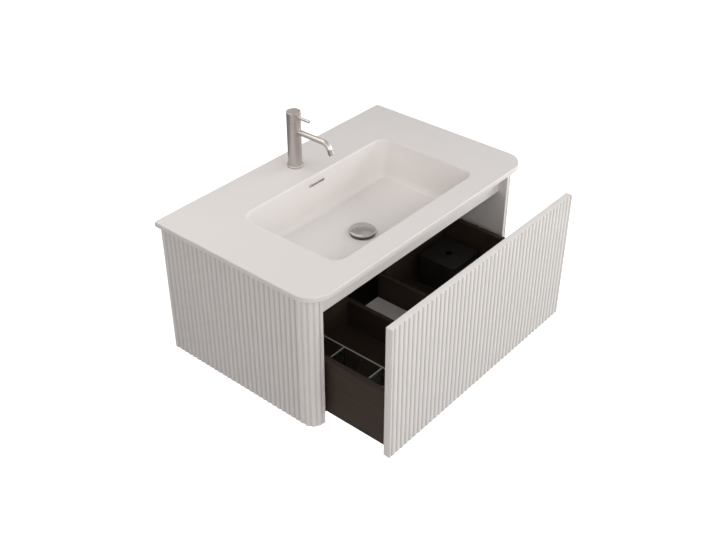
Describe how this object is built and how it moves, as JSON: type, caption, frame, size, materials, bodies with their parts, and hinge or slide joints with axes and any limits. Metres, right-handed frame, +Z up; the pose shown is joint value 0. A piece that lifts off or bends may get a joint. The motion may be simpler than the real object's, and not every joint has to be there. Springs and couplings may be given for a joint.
{
  "type": "floating vanity",
  "caption": "Wall-hung bathroom vanity with a moulded basin top, pillar mixer, click waste, reeded cabinet and one full-extension drawer.",
  "frame": {"origin": "Middle of the four wall fixing holes, on the wall face", "axes": "X runs along the wall to the right as seen from the front, Y points into the wall, Z is up"},
  "size_m": [0.8, 0.653, 0.52],
  "materials": {
    "solid_surface": "satin solid surface",
    "brushed_nickel": "brushed",
    "stem_metal": "plain",
    "brass": "machined",
    "copper": "drawn copper tube",
    "seal_rubber": "matt",
    "ceramic_plastic": "matt",
    "white_lacquer": "matt lacquer",
    "white_plastic": "matt",
    "zinc_steel": "zinc plated",
    "umber_board": "matt foil",
    "mat_grey": "matt, ribbed",
    "glass": "clear, polished",
    "dark_plastic": "matt"
  },
  "bodies": {
    "vanity": {"basin_top": "solid_surface", "overflow_trim": "brushed_nickel", "waste_body": "brushed_nickel", "waste_gasket": "seal_rubber", "waste_nut": "brushed_nickel", "waste_coupling": "brushed_nickel", "waste_tail": "brushed_nickel", "tap_foot": "brushed_nickel", "tap_body": "brushed_nickel", "tap_spout": "brushed_nickel", "tap_aerator": "brushed_nickel", "tap_cartridge": "ceramic_plastic", "tap_ring": "brass", "tap_shank": "brass", "tap_tails": "copper", "tap_washer": "seal_rubber", "tap_nut": "brass", "carcass_side_left": "white_lacquer", "carcass_side_right": "white_lacquer", "cladding_left": "white_lacquer", "cladding_right": "white_lacquer", "post_left": "white_lacquer", "post_right": "white_lacquer", "bottom_panel": "umber_board", "front_rail": "white_lacquer", "back_rail_upper": "white_lacquer", "back_rail_lower": "white_lacquer", "back_panel": "umber_board", "fixing_plates": "zinc_steel", "corner_blocks": "white_plastic", "corner_screws": "zinc_steel", "bumpers": "seal_rubber", "runner_cabinet_left": "zinc_steel", "runner_cabinet_right": "zinc_steel"},
    "drawer": {"drawer_front": "white_lacquer", "drawer_side_left": "umber_board", "drawer_side_right": "umber_board", "drawer_back_left": "umber_board", "drawer_back_right": "umber_board", "drawer_floor": "umber_board", "bay_wall_left": "umber_board", "bay_wall_right": "umber_board", "bay_mat": "mat_grey", "front_brackets": "zinc_steel", "bracket_screws": "zinc_steel", "long_divider": "glass", "cross_dividers": "glass", "divider_holders": "zinc_steel", "tidy_box": "dark_plastic", "runner_drawer_left": "zinc_steel", "runner_drawer_right": "zinc_steel"},
    "runner_mid_left": {"runner_middle_left": "zinc_steel"},
    "runner_mid_right": {"runner_middle_right": "zinc_steel"},
    "tap_swivel": {"tap_stem": "stem_metal"},
    "tap_handle": {"tap_cap": "brushed_nickel", "tap_lever": "brushed_nickel"},
    "waste_plug": {"waste_cap": "brushed_nickel", "waste_stem": "stem_metal"},
    "tidy_lid": {"tidy_lid": "dark_plastic"}
  },
  "joints": [
    {"name": "drawer_slide", "type": "slide", "parent": "vanity", "child": "drawer", "axis": [0, -1, 0], "range_m": [-0.185, 0.155]},
    {"name": "runner_slide_left", "type": "slide", "parent": "vanity", "child": "runner_mid_left", "axis": [0, -1, 0], "range_m": [-0.0925, 0.0775]},
    {"name": "runner_slide_right", "type": "slide", "parent": "vanity", "child": "runner_mid_right", "axis": [0, -1, 0], "range_m": [-0.0925, 0.0775]},
    {"name": "tap_turn", "type": "hinge", "parent": "vanity", "child": "tap_swivel", "pos_m": [0, -0.066, 0.3153], "axis": [0, 0, 1], "range_deg": [-45, 45]},
    {"name": "tap_lift", "type": "hinge", "parent": "tap_swivel", "child": "tap_handle", "pos_m": [0, -0.04825, 0.3153], "axis": [-1, 0, 0], "range_deg": [0, 20]},
    {"name": "plug_click", "type": "slide", "parent": "vanity", "child": "waste_plug", "axis": [0, 0, 1], "range_m": [-0.0065, 0]},
    {"name": "lid_lift", "type": "slide", "parent": "drawer", "child": "tidy_lid", "axis": [0, 0, 1], "range_m": [0, 0.03]}
  ],
  "couplings": [
    {"joint": "runner_slide_left", "follows": "drawer_slide", "ratio": 0.5},
    {"joint": "runner_slide_right", "follows": "drawer_slide", "ratio": 0.5}
  ]
}
